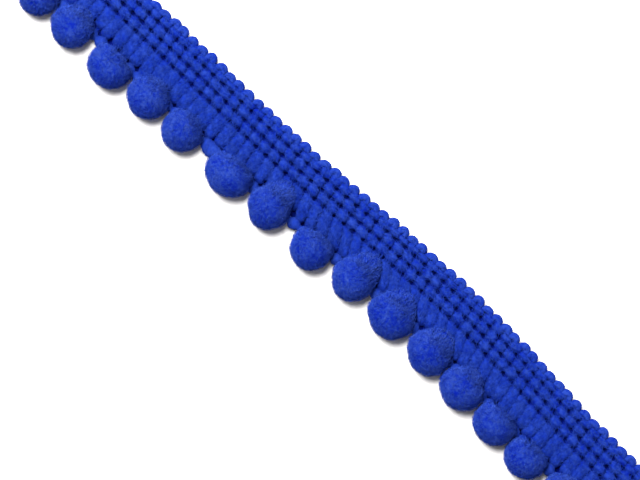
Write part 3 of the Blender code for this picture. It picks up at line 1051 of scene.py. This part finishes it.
PICTURE_WIDTH_PX = 640
PICTURE_PX_PER_MM = 6.6
PICTURE_MIDDLE = (-2.41 * MM, SELVEDGE_Y - 9.23 * MM)
CAMERA_CLEARANCE = 2.0 * MM

# The key light's turn from the picture's top to its left, its distance that way, its height and its size.
KEY_TURN = math.radians(23.0)
KEY_ASIDE, KEY_HEIGHT, KEY_SIZE = 0.260, 0.54, 0.36


class TRIM_OT_stage(bpy.types.Operator):
    """Plain pale floor, soft light from the picture's top left and a camera that looks straight down"""
    bl_idname = "trim.stage"
    bl_label = "Stage"

    def execute(self, context):
        stage = context.scene.trim_stage
        self.add_floor(stage)
        self.add_lights(context, stage)
        self.add_camera(context, stage)
        return {"FINISHED"}

    def add_floor(self, stage):
        bm = bmesh.new()
        bmesh.ops.create_grid(bm, x_segments=1, y_segments=1, size=1.5)
        mesh = bpy.data.meshes.new("floor")
        bm.to_mesh(mesh)
        bm.free()
        material, _, shader = shader_of("pale floor")
        colour = (*stage.floor_colour, 1.0)
        set_inputs(shader, {"Base Color": colour, "Roughness": 0.9, "Specular IOR Level": 0.1})
        mesh.materials.append(material)
        floor = add_object("floor", mesh)

    def add_lights(self, context, stage):
        bearing = stage.roll + KEY_TURN
        towards = Vector((-math.sin(bearing), math.cos(bearing), 0.0))
        aim = Vector((*PICTURE_MIDDLE, 0.0))
        data = bpy.data.lights.new("key light", "AREA")
        data.shape = "DISK"
        data.size = KEY_SIZE
        data.energy = stage.key_power
        key = add_object("key light", data)
        key.location = aim + towards * KEY_ASIDE + Vector((0.0, 0.0, KEY_HEIGHT))
        key.rotation_euler = (aim - key.location).to_track_quat("-Z", "Y").to_euler()
        world = bpy.data.worlds.new("even light")
        world.use_nodes = True
        light = {"Color": (1.0, 1.0, 1.0, 1.0), "Strength": stage.fill_strength}
        set_inputs(world.node_tree.nodes["Background"], light)
        context.scene.world = world
        context.scene.view_settings.view_transform = "Standard"

    def add_camera(self, context, stage):
        data = bpy.data.cameras.new("camera")
        data.lens = stage.lens
        picture_width = PICTURE_WIDTH_PX / PICTURE_PX_PER_MM * MM
        distance = picture_width * data.lens / data.sensor_width
        camera = add_object("camera", data)
        camera.location = (*PICTURE_MIDDLE, distance + CAMERA_CLEARANCE)
        camera.rotation_euler = (0.0, 0.0, stage.roll)
        context.scene.camera = camera


# ---- panel

STEPS = (
    TRIM_OT_stage,
    TRIM_OT_heading_picks,
    TRIM_OT_selvedge_scallops,
    TRIM_OT_heading_ground,
    TRIM_OT_binding_stitches,
    TRIM_OT_tie_chain,
    TRIM_OT_pompoms,
    TRIM_OT_stray_fibres,
)


class TRIM_PT_panel(bpy.types.Panel):
    """Sizes and colours of the trim, and the steps that make it"""
    bl_idname = "TRIM_PT_panel"
    bl_label = "Pompom fringe trim"
    bl_space_type = "VIEW_3D"
    bl_region_type = "UI"
    bl_category = "Trim"

    def draw(self, context):
        scene = context.scene
        for group in (scene.trim_yarn, scene.trim_pompoms, scene.trim_stage):
            box = self.layout.box()
            for name in group.__annotations__:
                box.prop(group, name)
        for step in STEPS:
            self.layout.operator(step.bl_idname)


CLASSES = (TrimYarnSettings, TrimPompomSettings, TrimStageSettings, *STEPS, TRIM_PT_panel)


def register():
    for each in CLASSES:
        bpy.utils.register_class(each)
    bpy.types.Scene.trim_yarn = PointerProperty(type=TrimYarnSettings)
    bpy.types.Scene.trim_pompoms = PointerProperty(type=TrimPompomSettings)
    bpy.types.Scene.trim_stage = PointerProperty(type=TrimStageSettings)


def unregister():
    for name in ("trim_yarn", "trim_pompoms", "trim_stage"):
        delattr(bpy.types.Scene, name)
    for each in reversed(CLASSES):
        bpy.utils.unregister_class(each)


def main():
    register()
    for step in STEPS:
        group, name = step.bl_idname.split(".")
        getattr(getattr(bpy.ops, group), name)()


if __name__ == "__main__":
    main()
